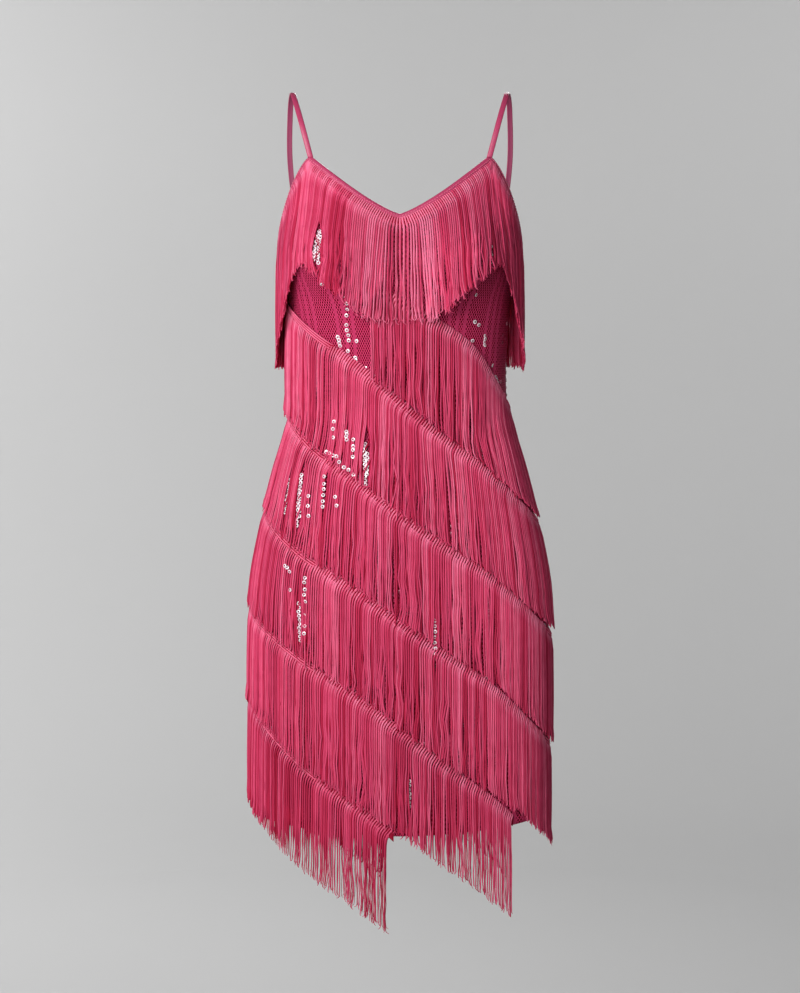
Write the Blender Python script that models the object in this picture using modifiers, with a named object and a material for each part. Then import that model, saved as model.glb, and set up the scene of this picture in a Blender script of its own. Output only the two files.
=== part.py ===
"""Fringe dance dress: two body panels, bound top edges, two straps and slanting rows of hanging fringe.

The dress keeps its worn form. Metres, +Z up, front towards -Y, origin between the strap tops.
Positions on the body are given by an angle round it (0 = centre front, 90 = right side as seen
from the front, 180 = centre back) and a level.
"""
import math

import bmesh
import bpy

# Driving dimensions
WALL = 0.0013             # body cloth
SEAM_ANGLE = 0.13         # half the gap at a side seam, degrees
SECTION_POWER = 2.25      # fullness of the cross-section, 2 is an ellipse
CUP_ANGLE, CUP_SPREAD = 36.0, 21.0
CUP_LEVEL, CUP_RISE, CUP_FALL = -0.198, 0.052, 0.034
CUP_OUT = 0.030
APEX_ANGLE = 60.0         # where neckline and armhole meet under a strap
STRAP_BACK_ANGLE = 120.0
NECK_LEVEL, APEX_LEVEL, UNDERARM_LEVEL = -0.145, -0.078, -0.193
BACK_DIP = 0.010          # back top edge below the underarm at centre back
HEM_SIDE, HEM_DIP = -0.846, 0.012
BINDING = 0.007           # height of the bound edge
BINDING_CLOTH = 0.0009
BINDING_CLEAR = 0.0010    # inside of the binding off the panel
CLEAR = 0.0003            # strap end off the bound edge
STRAP_WIDTH, STRAP_CLOTH = 0.006, 0.0012
STRAP_STEPS = 18
TAPE = 0.010              # height of the band that carries a fringe
BACK_TAPE_OUT = 0.0015    # inner side of the back bust tape, out from the body surface
CUP_TAPE_OUT = 0.0025      # more over the cups, which curve faster
TAPE_CLOTH = 0.0020
LOCK_CLOTH = 0.0032       # a lock at its thickest
PITCH = 0.0243            # one lock and one gap along a tape
BUST_PITCH = 0.0208
LOCK_SHARE = 0.84         # of the pitch
DROP = 0.122              # tape top to lock end
LOCK_CLEAR = 0.0020       # lock end to the next tape down

# Body under the cloth
BODY = (
    # level, half width, front depth, back depth
    (-0.050, 0.1310, 0.0800, 0.0860),
    (-0.120, 0.1375, 0.0900, 0.0900),
    (-0.190, 0.1410, 0.0985, 0.0920),
    (-0.240, 0.1310, 0.0990, 0.0885),
    (-0.290, 0.1265, 0.0920, 0.0820),
    (-0.335, 0.1253, 0.0880, 0.0800),
    (-0.380, 0.1290, 0.0900, 0.0850),
    (-0.440, 0.1455, 0.0985, 0.0985),
    (-0.510, 0.1630, 0.1045, 0.1110),
    (-0.590, 0.1755, 0.1080, 0.1180),
    (-0.700, 0.1780, 0.1065, 0.1140),
    (-0.870, 0.1750, 0.1035, 0.1030),
)

# Levels of each tape's top edge; first and last are the angles where the tape is cut
ROWS = (
    # name, left, left front, centre, right front, right, first, last, out from the body
    ("fringe_tier_1", -0.150, -0.190, -0.2375, -0.2865, -0.366, -15.0, 181.0, 0.0015),
    ("fringe_tier_2", -0.241, -0.2895, -0.3507, -0.4175, -0.500, -180.0, 180.0, 0.0015),
    ("fringe_tier_3", -0.370, -0.418, -0.479, -0.546, -0.636, -180.0, 180.0, 0.0015),
    ("fringe_tier_4", -0.482, -0.540, -0.6027, -0.672, -0.767, -180.0, 180.0, 0.0010),
    ("fringe_tier_5", -0.598, -0.6605, -0.7269, -0.803, -0.895, -240.0, 60.0, 0.0010),
    ("fringe_tier_6", -0.706, -0.788, -0.857, -0.940, -1.020, -173.5, -6.5, 0.0010),
)

STRAP_PATH = (
    # across, back, level; the two ends are on the bound edges
    (0.1130, -0.0530, -0.0380),
    (0.1220, -0.0290, -0.0085),
    (0.1260, 0.0000, -0.0006),
    (0.1300, 0.0280, -0.0200),
    (0.1315, 0.0480, -0.0750),
    (0.1245, 0.0595, -0.1350),
)

# Panel columns from centre to side; level rows up to the chest, then shares of the rest
COLUMNS = (0, 8, 16, 24, 32, 40, 47, 53.5, 60, 66, 72, 78, 84, 90)
LEVEL_ROWS = (-0.790, -0.720, -0.650, -0.590, -0.540, -0.500, -0.467, -0.438, -0.410,
              -0.385, -0.360, -0.335, -0.310, -0.285)
FRONT_SHARES = (0.10, 0.20, 0.31, 0.43, 0.56, 0.70, 0.85)
BACK_SHARES = (0.34, 0.68)
# Down each lock; stand-off lifts it over the rows under it
LOCK_LEVELS = (
    # share of the way down, width, share of the thickness, stand-off
    (0.35, 0.98, 0.95, 0.0),
    (0.70, 0.92, 1.00, 0.0),
    (1.00, 0.72, 0.50, 0.0),
)
BUST_LEVELS = (
    # share of the way down, width, share of the thickness, stand-off
    (0.20, 1.00, 0.80, 0.0015),
    (0.45, 0.96, 1.00, 0.0042),
    (0.72, 0.88, 1.00, 0.0060),
    (1.00, 0.60, 0.50, 0.0065),
)
BACK_LEVELS = (
    # share of the way down, width, share of the thickness, stand-off
    (0.14, 1.00, 0.75, 0.0050),
    (0.45, 0.96, 0.95, 0.0060),
    (1.00, 0.62, 0.50, 0.0065),
)

COLLECTION = "fringe_dance_dress"
COLORS = {
    "mesh": (0.62, 0.045, 0.19),
    "satin": (0.78, 0.05, 0.20),
    "fringe": (0.80, 0.06, 0.22),
}


def curve(xs, ys, x, level_ends=False):
    """Smooth value through the points; level_ends holds both ends flat."""
    last = len(xs) - 1
    x = min(max(x, min(xs)), max(xs))
    i = 0
    while i < last - 1 and (x - xs[i + 1]) * (xs[-1] - xs[0]) > 0:
        i += 1

    def slope(k):
        if level_ends and k in (0, last):
            return 0.0
        lo, hi = max(k - 1, 0), min(k + 1, last)
        return (ys[hi] - ys[lo]) / (xs[hi] - xs[lo])

    span = xs[i + 1] - xs[i]
    t = (x - xs[i]) / span
    return ((2 * t**3 - 3 * t**2 + 1) * ys[i] + (t**3 - 2 * t**2 + t) * span * slope(i)
            + (3 * t**2 - 2 * t**3) * ys[i + 1] + (t**3 - t**2) * span * slope(i + 1))


def folded(angle):
    """Angle as a signed turn from centre front, -180 to 180."""
    return (angle + 180.0) % 360.0 - 180.0


def radius(angle, level):
    """Distance from the axis to the body surface."""
    turn = math.radians(folded(angle))
    levels = [row[0] for row in BODY]
    half = curve(levels, [row[1] for row in BODY], level)
    side = 2 if math.cos(turn) > 0 else 3
    depth = curve(levels, [row[side] for row in BODY], level)
    power = SECTION_POWER
    plain = ((abs(math.sin(turn)) / half)**power + (abs(math.cos(turn)) / depth)**power)**(-1 / power)
    across = (abs(folded(angle)) - CUP_ANGLE) / CUP_SPREAD
    rise = level - CUP_LEVEL
    along = rise / (CUP_RISE if rise > 0 else CUP_FALL)
    return plain + CUP_OUT * math.exp(-across**2 - along**2)


def at(angle, level, distance):
    """Point at a distance from the axis."""
    turn = math.radians(angle)
    return (distance * math.sin(turn), -distance * math.cos(turn), level)


def on_body(angle, level, out):
    return at(angle, level, radius(angle, level) + out)


def top_edge(angle):
    """Level of the cut top edge: V neckline, armholes, and a shallow back."""
    turn = abs(folded(angle))
    if turn <= APEX_ANGLE:
        return NECK_LEVEL + (APEX_LEVEL - NECK_LEVEL) * (turn / APEX_ANGLE)**1.3
    if turn <= 90:
        t = (turn - APEX_ANGLE) / (90 - APEX_ANGLE)
        return APEX_LEVEL + (UNDERARM_LEVEL - APEX_LEVEL) * t**1.4 * (1.25 - 0.25 * t**2)
    return UNDERARM_LEVEL - BACK_DIP * math.cos(math.radians(180 - turn))


def hem_edge(angle):
    return HEM_SIDE - HEM_DIP * max(math.cos(math.radians(angle)), 0.0)


def steepness(level_at, angle, step=1.5):
    """Length along an edge for each length across it, never looking over a side seam."""
    before, after = angle - step, angle + step
    for seam in (-90, 90, 270):
        if before < seam <= angle:
            before = seam
        if angle <= seam < after:
            after = seam
    if after - before < step:
        before, after = (angle - step, angle) if abs(folded(angle)) <= 90 else (angle, angle + step)
    level = level_at(angle)
    width = math.dist(on_body(before, level, 0)[:2], on_body(after, level, 0)[:2])
    return min(math.hypot(width, level_at(after) - level_at(before)) / width, 1.9)


def sheet(columns):
    """Open grid through columns of points, each listed upwards; columns run towards the right."""
    form = bmesh.new()
    wide, tall = len(columns), len(columns[0])
    bmesh.ops.create_grid(form, x_segments=wide - 1, y_segments=tall - 1, size=1)
    form.verts.ensure_lookup_table()
    for i, column in enumerate(columns):
        for j, point in enumerate(column):
            form.verts[j * wide + i].co = point
    return form


def make(name, form, color, thickness, offset, mirror=False):
    """Add an open sheet as a solid of its own material; offset 1 thickens it outwards."""
    mesh = bpy.data.meshes.new(name)
    form.to_mesh(mesh)
    form.free()
    mesh.shade_smooth()
    solid = bpy.data.objects.new(name, mesh)
    bpy.data.collections[COLLECTION].objects.link(solid)
    if mirror:
        half = solid.modifiers.new("Mirror", "MIRROR")
        half.merge_threshold = 0.0001
    wall = solid.modifiers.new("Solidify", "SOLIDIFY")
    wall.thickness = thickness
    wall.offset = offset
    material = bpy.data.materials.new(name)
    material.use_nodes = True
    shader = material.node_tree.nodes["Principled BSDF"]
    shader.inputs["Base Color"].default_value = (*COLORS[color], 1)
    shader.inputs["Roughness"].default_value = 0.5
    mesh.materials.append(material)
    return solid


def panel(name, angles, shares):
    """Half of a body panel from hem to top edge, mirrored across the centre line."""
    columns = []
    for angle in angles:
        edge = top_edge(angle)
        bound = edge - BINDING * steepness(top_edge, angle)
        low = LEVEL_ROWS[-1]
        levels = [hem_edge(angle), *LEVEL_ROWS]
        levels += [low + (bound - low) * share for share in shares] + [bound, edge]
        columns.append([on_body(angle, level, 0) for level in levels])
    form = sheet(columns)
    bmesh.ops.triangulate(form, faces=form.faces, quad_method="FIXED")
    return make(name, form, "mesh", WALL, -1, mirror=True)


def binding(name, angles):
    """Strip folded over a top edge: an outer leg, the fold and an inner leg."""
    columns = []
    for angle in angles:
        edge = top_edge(angle)
        stretch = steepness(top_edge, angle)
        outer, inner = BINDING_CLEAR, -WALL - BINDING_CLEAR
        leg, over = edge - BINDING * stretch, edge + BINDING_CLEAR * stretch
        columns.append([
            on_body(angle, leg, outer),
            at(angle, over, radius(angle, edge) + outer),
            at(angle, over, radius(angle, edge) + inner),
            on_body(angle, leg, inner),
        ])
    form = sheet(columns)
    form.faces.ensure_lookup_table()
    inner_leg = form.faces[2 * (len(columns) - 1):]
    others = form.faces[:2 * (len(columns) - 1)]
    bmesh.ops.triangulate(form, faces=others, quad_method="FIXED")
    bmesh.ops.triangulate(form, faces=inner_leg, quad_method="ALTERNATE")
    return make(name, form, "satin", BINDING_CLOTH, 1, mirror=True)


def strap(name, side):
    """Flat ribbon over one shoulder, from the front apex to the back edge."""
    ends = []
    for angle in (APEX_ANGLE, STRAP_BACK_ANGLE):
        fold = top_edge(angle) + (BINDING_CLEAR + BINDING_CLOTH) * steepness(top_edge, angle)
        ends.append(on_body(angle, fold + CLEAR, -WALL / 2))
    path = (ends[0], *STRAP_PATH, ends[1])
    last = len(path) - 1
    marks = list(range(last + 1))
    columns = []
    for across in (-side * STRAP_WIDTH / 2, side * STRAP_WIDTH / 2):
        column = []
        for i in range(STRAP_STEPS + 1):
            t = last * i / STRAP_STEPS
            x, y, level = (curve(marks, [row[k] for row in path], t) for k in range(3))
            column.append((side * (x + side * across), y, level))
        columns.append(column)
    return make(name, sheet(columns), "satin", STRAP_CLOTH, 0)


def row_level(row, angle):
    """Top edge of a slanting tape; the back mirrors the front."""
    turn = folded(angle)
    if abs(turn) > 90:
        turn = math.copysign(180 - abs(turn), turn)
    return curve((-90, -45, 0, 45, 90), row[1:6], turn, level_ends=True)


def in_row(row, angle):
    """Whether a row's tape passes this angle."""
    first, last = row[6:8]
    return any(first <= angle + turn <= last for turn in (-360, 0, 360))


def wobble(number):
    """Repeatable value from -1 to 1."""
    value = math.sin(number * 12.9898 + 4.1) * 43758.5453
    return 2 * (value - math.floor(value)) - 1


def stations(level_at, first, last, pitch):
    """Angles along a tape where locks begin and end."""
    steps = max(int(last - first) * 2, 8)
    angles = [first + (last - first) * i / steps for i in range(steps + 1)]
    spots = [on_body(angle, level_at(angle), 0) for angle in angles]
    lengths = [0.0]
    for a, b in zip(spots, spots[1:]):
        lengths.append(lengths[-1] + math.dist(a, b))
    closed = last - first >= 360
    whole = lengths[-1] + (0 if closed else pitch * (1 - LOCK_SHARE))
    count = round(whole / pitch)
    pitch = whole / count
    marks = []
    for i in range(count):
        marks += [i * pitch, (i + LOCK_SHARE) * pitch]
    if not closed:
        marks[-1] = lengths[-1]
    result, k = [], 0
    for mark in marks:
        while k < steps - 1 and lengths[k + 1] < mark:
            k += 1
        share = (mark - lengths[k]) / (lengths[k + 1] - lengths[k])
        result.append(angles[k] + (angles[k + 1] - angles[k]) * min(share, 1))
    return result, closed


def hang(angle, top, level):
    """Distance from the axis of a strand: it rests on the body and never turns back in."""
    steps = max(int((top - level) / 0.004), 1)
    return max(radius(angle, top + (level - top) * n / steps) for n in range(steps + 1))


def fringe(name, level_at, first, last, floor_at, levels, pitch, tape_out, seed):
    """Tape with locks drawn down from every other stretch of its lower edge."""
    angles, closed = stations(level_at, first, last, pitch)
    tops = [level_at(angle) for angle in angles]
    lows = [top - TAPE * steepness(level_at, angle) for top, angle in zip(tops, angles)]
    columns = [[on_body(angle, low, tape_out), on_body(angle, top, tape_out)]
               for angle, top, low in zip(angles, tops, lows)]
    count = len(columns)
    form = sheet(columns + columns[:1] if closed else columns)
    weight = form.verts.layers.deform.verify()
    lower = list(form.verts)[:count + (1 if closed else 0)]
    for point in form.verts:
        point[weight][0] = TAPE_CLOTH / LOCK_CLOTH

    for i in range(0, count, 2):
        span = (angles[i + 1] - angles[i]) / 2
        middle = angles[i] + span
        jitter = 0.003 * wobble(seed + i)
        sides = []
        for sign, k in ((-1, i), (1, i + 1)):
            end = tops[k] - DROP - jitter
            floor = floor_at(middle + sign * span * levels[-1][1]) + LOCK_CLEAR
            sides.append((sign, tops[k], lows[k], max(end, floor)))
        root = (lower[i], lower[i + 1])
        for share, width, thick, stand in levels:
            made = bmesh.ops.extrude_edge_only(form, edges=[form.edges.get(root)])["geom"]
            fresh = [item for item in made if isinstance(item, bmesh.types.BMVert)]
            fresh.sort(key=lambda point: (point.co - root[0].co).length)
            for point, (sign, top, low, end) in zip(fresh, sides):
                angle = middle + sign * span * width
                level = low + (end - low) * share
                point.co = at(angle, level, hang(angle, top, level) + tape_out + 0.0006 + stand)
                point[weight][0] = thick
            root = tuple(fresh)

    if closed:
        bmesh.ops.remove_doubles(form, verts=form.verts, dist=0.00001)
    solid = make(name, form, "fringe", LOCK_CLOTH, 1)
    solid.vertex_groups.new(name="thickness")
    solid.modifiers["Solidify"].vertex_group = "thickness"
    return solid


def below_binding(angle):
    return top_edge(angle) - (BINDING + 0.0018) * steepness(top_edge, angle)


def build():
    for leftover in list(bpy.data.objects):
        bpy.data.objects.remove(leftover)
    bpy.context.scene.collection.children.link(bpy.data.collections.new(COLLECTION))

    side = 90 - SEAM_ANGLE
    front = [min(angle, side) for angle in COLUMNS]
    back = [180 - angle for angle in front[::-1]]
    panel("front_panel", front, FRONT_SHARES)
    panel("back_panel", back, BACK_SHARES)
    binding("binding_front", front[:-1] + [side - SEAM_ANGLE])
    binding("binding_back", [back[0] + SEAM_ANGLE] + back[1:])
    strap("strap_left", -1)
    strap("strap_right", 1)

    def no_floor(angle):
        return -2.0

    side -= 0.2
    fringe("fringe_bust_front", below_binding, -side, side, no_floor,
           BUST_LEVELS, BUST_PITCH, CUP_TAPE_OUT, 11)
    fringe("fringe_bust_back", below_binding, 180 - side, 180 + side, no_floor,
           BACK_LEVELS, BUST_PITCH, BACK_TAPE_OUT, 57)
    for number, row in enumerate(ROWS):
        below = ROWS[number + 1] if number + 1 < len(ROWS) else None

        def level_at(angle, row=row):
            return row_level(row, angle)

        def floor_at(angle, below=below):
            if below is None or not in_row(below, angle):
                return -2.0
            return row_level(below, angle)

        fringe(row[0], level_at, row[6], row[7], floor_at, LOCK_LEVELS, PITCH, row[8],
               100 * (number + 1))


build()
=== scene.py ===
"""Looks of the fringe dance dress: mesh cloth, bound edges, ribbons, sequins and hanging fringe."""
import functools
import itertools
import math
import random
from collections import namedtuple

import bmesh
import bpy
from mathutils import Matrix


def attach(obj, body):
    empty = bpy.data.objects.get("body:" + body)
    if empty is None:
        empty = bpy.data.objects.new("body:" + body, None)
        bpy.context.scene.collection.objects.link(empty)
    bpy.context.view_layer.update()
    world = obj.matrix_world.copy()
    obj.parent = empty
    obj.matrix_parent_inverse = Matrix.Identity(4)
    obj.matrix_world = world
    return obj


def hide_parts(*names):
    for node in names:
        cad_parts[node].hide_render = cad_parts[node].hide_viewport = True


bl_info = {
    "name": "Fringe dance dress",
    "version": (1, 0, 0),
    "blender": (4, 5, 0),
    "location": "3D View > Sidebar > Dress",
    "description": "Makes the cloth, edges, ribbons, sequins and fringe of a dance dress",
    "category": "Add Mesh",
}

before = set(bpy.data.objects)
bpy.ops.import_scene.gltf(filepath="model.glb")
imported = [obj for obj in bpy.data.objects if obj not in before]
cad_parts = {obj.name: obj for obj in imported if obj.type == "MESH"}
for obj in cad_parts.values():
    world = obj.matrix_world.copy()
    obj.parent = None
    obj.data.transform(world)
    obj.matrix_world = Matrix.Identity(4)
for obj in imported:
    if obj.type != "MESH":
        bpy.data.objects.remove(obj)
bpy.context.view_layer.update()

WALL = 0.0013             # body cloth
SEAM_ANGLE = 0.13         # half the gap at a side seam, degrees
SECTION_POWER = 2.25      # fullness of the cross-section, 2 is an ellipse
SECTION_STEPS = 4000      # levels in a metre at which the cross-section is worked out
STEEPEST = 1.9            # most that a slanting edge is stretched
CUP_ANGLE, CUP_SPREAD = 36.0, 21.0    # where the bust stands out most, and its reach round
CUP_LEVEL, CUP_RISE, CUP_FALL = -0.198, 0.052, 0.034
CUP_OUT = 0.030           # how far the bust stands out
APEX_ANGLE = 60.0         # where neckline and armhole meet under a strap
STRAP_BACK_ANGLE = 120.0
NECK_LEVEL, APEX_LEVEL, UNDERARM_LEVEL = -0.145, -0.078, -0.193
BACK_DIP = 0.010
HEM_SIDE, HEM_DIP = -0.846, 0.012
BINDING = 0.007           # reach of the bound edge down the outside
CLOTH_ROWS = 80           # cells down the body cloth
CLOTH_RADIUS = 0.155      # turns an angle into a width on the flat cloth
HEM_FOLD = 0.006          # depth of the turned hem
RIBBON_STEPS = 84         # cells along a ribbon
STRAND_SEED = 41          # chance seed of the first fringe, one more for each other
BARE_LOW, BARE_SIDE = -0.345, 72      # chance sequins lie below this level or past this angle
YARN_TWIST = 2600.0       # turn of the yarn's twist in a metre, radians
TAPE_RIB, SATIN_RIB = 0.0024, 0.0016  # width of one rib
BAND_SHIFT = 0.0963       # sets where the plain bands of the cloth lie

BODY = (
    # level, half width, front depth, back depth
    (-0.050, 0.1310, 0.0800, 0.0860),
    (-0.120, 0.1375, 0.0900, 0.0900),
    (-0.190, 0.1410, 0.0985, 0.0920),
    (-0.240, 0.1310, 0.0990, 0.0885),
    (-0.290, 0.1265, 0.0920, 0.0820),
    (-0.335, 0.1253, 0.0880, 0.0800),
    (-0.380, 0.1290, 0.0900, 0.0850),
    (-0.440, 0.1455, 0.0985, 0.0985),
    (-0.510, 0.1630, 0.1045, 0.1110),
    (-0.590, 0.1755, 0.1080, 0.1180),
    (-0.700, 0.1780, 0.1065, 0.1140),
    (-0.870, 0.1750, 0.1035, 0.1030),
)
LEVELS, HALF_WIDTHS, FRONT_DEPTHS, BACK_DEPTHS = zip(*BODY)

# Levels of each tape's top edge; first and last are the angles where the tape is cut
ROWS = (
    # name, left, left front, centre, right front, right, first, last, out from the body
    ("tier_1", -0.150, -0.190, -0.2375, -0.2865, -0.366, -15.0, 181.0, 0.0015),
    ("tier_2", -0.241, -0.2895, -0.3507, -0.4175, -0.500, -180.0, 180.0, 0.0015),
    ("tier_3", -0.370, -0.418, -0.479, -0.546, -0.636, -180.0, 180.0, 0.0015),
    ("tier_4", -0.482, -0.540, -0.6027, -0.672, -0.767, -180.0, 180.0, 0.0010),
    ("tier_5", -0.598, -0.6605, -0.7269, -0.803, -0.895, -240.0, 60.0, 0.0010),
    ("tier_6", -0.706, -0.788, -0.857, -0.940, -1.020, -173.5, -4.0, 0.0010),
)

STRAP_PATH = (
    # across, back, level; the two ends are on the bound edges
    (0.1130, -0.0530, -0.0380),
    (0.1220, -0.0290, -0.0085),
    (0.1260, 0.0000, -0.0006),
    (0.1300, 0.0280, -0.0200),
    (0.1315, 0.0480, -0.0750),
    (0.1245, 0.0595, -0.1350),
)

BINDING_PROFILE = (
    # up from the cut edge, out from the body, place round the binding
    (-BINDING, 0.0007, 0.0000), (-0.0062, 0.0010, 0.0010), (-0.0035, 0.0013, 0.0035),
    (-0.0010, 0.0012, 0.0060), (0.0006, 0.0007, 0.0072), (0.0010, -WALL / 2, 0.0080),
    (0.0006, -0.0019, 0.0088), (-0.0010, -0.0023, 0.0100), (-BINDING, -0.0023, 0.0160),
)
RIBBON_PROFILE = (
    # across, up from the flat, place across the ribbon
    (-0.0030, 0.0, 0.004), (-0.0021, 0.0004, 0.005), (0.0, 0.0005, 0.006),
    (0.0021, 0.0004, 0.007), (0.0030, 0.0, 0.008),
)
TAPE_PROFILE = (
    # down from the top of the tape, out from its back, place up the tape
    (0.0100, 0.0, 0.0), (0.0092, 0.0003, 0.0008), (0.0050, 0.0004, 0.005),
    (0.0018, 0.0003, 0.0092), (0.0010, 0.0, 0.010),
)

# Places where the strands part and bare the cloth
PARTINGS = (
    # angle and level at the top, angle and level at the low end, half width
    (-42.6, -0.160, -38.4, -0.204, 0.0056),
    (-31.0, -0.165, -28.0, -0.235, 0.0014),
    (41.5, -0.160, 36.5, -0.225, 0.0018),
    (48.0, -0.162, 43.5, -0.212, 0.0024),
    (-42.6, -0.372, -41.2, -0.396, 0.0013),
    (-34.2, -0.380, -33.5, -0.400, 0.0013),
    (-29.6, -0.396, -28.8, -0.420, 0.0011),
    (-22.7, -0.388, -21.0, -0.455, 0.0036),
    (-7.0, -0.395, -7.0, -0.470, 0.0010),
    (-57.4, -0.436, -55.8, -0.502, 0.0050),
    (-64.4, -0.446, -63.2, -0.488, 0.0028),
    (-51.0, -0.455, -49.8, -0.488, 0.0011),
    (-43.6, -0.440, -43.4, -0.478, 0.0026),
    (-4.0, -0.520, -4.0, -0.585, 0.0012),
    (-52.3, -0.584, -51.6, -0.636, 0.0036),
    (-59.0, -0.543, -57.0, -0.556, 0.0018),
    (-49.2, -0.555, -48.9, -0.592, 0.0015),
    (20.0, -0.600, 20.0, -0.660, 0.0011),
    (-8.0, -0.655, -8.0, -0.705, 0.0012),
    (46.2, -0.560, 45.9, -0.620, 0.0017),
    (30.0, -0.420, 30.0, -0.470, 0.0012),
    (-22.0, -0.770, -22.0, -0.820, 0.0012),
    (5.5, -0.790, 5.5, -0.826, 0.0018),
)

# Runs of sequins, painted near white as glints, on the bare cloth under the bust fringe
BARE_RUNS = (
    # angle and level at the top, angle and level at the low end, distance apart
    (-31.6, -0.2376, -33.7, -0.2579, 0.0095),
    (-34.9, -0.2687, -34.4, -0.2863, 0.0059),
    (-35.4, -0.2983, -35.4, -0.2983, 0.0100),
    (-40.8, -0.2824, -40.0, -0.2926, 0.0051),
    (-29.4, -0.2869, -29.4, -0.2869, 0.0100),
    (-30.6, -0.3060, -30.7, -0.3110, 0.0050),
    (-24.4, -0.3176, -24.4, -0.3176, 0.0100),
    (-41.8, -0.2230, -41.8, -0.2230, 0.0100),
    (44.0, -0.2347, 44.0, -0.2347, 0.0100),
    (48.1, -0.2653, 50.9, -0.2688, 0.0040),
    (47.8, -0.2868, 47.8, -0.2868, 0.0100),
    (55.9, -0.2814, 56.5, -0.2918, 0.0046),
    (63.9, -0.3156, 63.9, -0.3156, 0.0100),
    (67.0, -0.3290, 68.5, -0.3360, 0.0040),
)

# Runs of sequins, painted near white as glints, that show where the strands part
PARTED_RUNS = (
    # as above
    (-42.6, -0.1630, -40.6, -0.1950, 0.0040),
    (-40.6, -0.1640, -38.4, -0.1990, 0.0034),
    (46.6, -0.1670, 44.2, -0.1979, 0.0048),
    (-22.9, -0.4040, -21.4, -0.4500, 0.0046),
    (-21.0, -0.4150, -20.8, -0.4380, 0.0056),
    (-57.6, -0.4410, -56.2, -0.4990, 0.0048),
    (-56.2, -0.4600, -55.2, -0.4880, 0.0068),
    (-64.3, -0.4480, -63.2, -0.4850, 0.0048),
    (-52.2, -0.5880, -51.6, -0.6310, 0.0050),
    (46.3, -0.5620, 45.8, -0.6180, 0.0060),
    (20.2, -0.6050, 19.9, -0.6500, 0.0075),
    (5.4, -0.7920, 5.6, -0.8220, 0.0056),
)

# Runs of sequins, painted near white as glints, that have worked through to the front of the
# strands
LOOSE_RUNS = (
    # as above
    (-42.4, -0.3800, -41.9, -0.3960, 0.0090),
    (-34.1, -0.3900, -33.6, -0.3990, 0.0045),
    (-29.5, -0.3990, -28.8, -0.4180, 0.0064),
    (-44.4, -0.4135, -38.4, -0.4185, 0.0025),
    (-36.7, -0.4250, -27.9, -0.4392, 0.0070),
    (-51.0, -0.4640, -49.9, -0.4860, 0.0110),
    (-43.6, -0.4420, -43.4, -0.4750, 0.0080),
    (-37.3, -0.4640, -35.8, -0.4740, 0.0100),
    (-59.2, -0.5450, -56.6, -0.5510, 0.0055),
    (-55.8, -0.5735, -55.8, -0.5735, 0.0100),
    (-49.2, -0.5570, -48.8, -0.5840, 0.0085),
    (-49.0, -0.6000, -49.0, -0.6210, 0.0090),
)


# ---------------------------------------------------------------- shape of the dress

def curve(xs, ys, x, level_ends=False):
    """Smooth value through the points; level_ends holds both ends flat."""
    last = len(xs) - 1
    x = min(max(x, min(xs)), max(xs))
    i = 0
    while i < last - 1 and (x - xs[i + 1]) * (xs[-1] - xs[0]) > 0:
        i += 1

    def slope(k):
        if level_ends and k in (0, last):
            return 0.0
        lo, hi = max(k - 1, 0), min(k + 1, last)
        return (ys[hi] - ys[lo]) / (xs[hi] - xs[lo])

    span = xs[i + 1] - xs[i]
    t = (x - xs[i]) / span
    return ((2 * t**3 - 3 * t**2 + 1) * ys[i] + (t**3 - 2 * t**2 + t) * span * slope(i)
            + (3 * t**2 - 2 * t**3) * ys[i + 1] + (t**3 - t**2) * span * slope(i + 1))


def folded(angle):
    """Angle as a signed turn from centre front, -180 to 180."""
    return (angle + 180.0) % 360.0 - 180.0


@functools.cache
def section(step):
    """Half width, front depth and back depth at a level, counted in section steps."""
    return [curve(LEVELS, sizes, step / SECTION_STEPS)
            for sizes in (HALF_WIDTHS, FRONT_DEPTHS, BACK_DEPTHS)]


def radius(angle, level):
    """Distance from the axis to the body surface."""
    turn = math.radians(folded(angle))
    half, front, back = section(round(level * SECTION_STEPS))
    depth = front if math.cos(turn) > 0 else back
    wide, deep = abs(math.sin(turn)) / half, abs(math.cos(turn)) / depth
    plain = (wide**SECTION_POWER + deep**SECTION_POWER)**(-1 / SECTION_POWER)
    across = (abs(folded(angle)) - CUP_ANGLE) / CUP_SPREAD
    rise = level - CUP_LEVEL
    along = rise / (CUP_RISE if rise > 0 else CUP_FALL)
    return plain + CUP_OUT * math.exp(-across**2 - along**2)


def at(angle, level, distance):
    """Point at a distance from the axis."""
    turn = math.radians(angle)
    return (distance * math.sin(turn), -distance * math.cos(turn), level)


def on_body(angle, level, out):
    """Point at a distance out from the body surface."""
    return at(angle, level, radius(angle, level) + out)


def top_edge(angle):
    """Level of the cut top edge: V neckline, armholes, and a shallow back."""
    turn = abs(folded(angle))
    if turn <= APEX_ANGLE:
        return NECK_LEVEL + (APEX_LEVEL - NECK_LEVEL) * (turn / APEX_ANGLE)**1.3
    if turn <= 90:
        t = (turn - APEX_ANGLE) / (90 - APEX_ANGLE)
        return APEX_LEVEL + (UNDERARM_LEVEL - APEX_LEVEL) * t**1.4 * (1.25 - 0.25 * t**2)
    return UNDERARM_LEVEL - BACK_DIP * math.cos(math.radians(180 - turn))


def hem_edge(angle):
    """Level of the cloth hem, a little lower at centre front."""
    return HEM_SIDE - HEM_DIP * max(math.cos(math.radians(angle)), 0.0)


def steepness(level_at, angle, step=1.5):
    """Length along an edge for each length across it, never looking over a side seam."""
    before, after = angle - step, angle + step
    for seam in (-90, 90, 270):
        if before < seam <= angle:
            before = seam
        if angle <= seam < after:
            after = seam
    if after - before < step:
        inside = abs(folded(angle)) <= 90
        before, after = (angle - step, angle) if inside else (angle, angle + step)
    level = level_at(angle)
    width = math.dist(on_body(before, level, 0)[:2], on_body(after, level, 0)[:2])
    return min(math.hypot(width, level_at(after) - level_at(before)) / width, STEEPEST)


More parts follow.
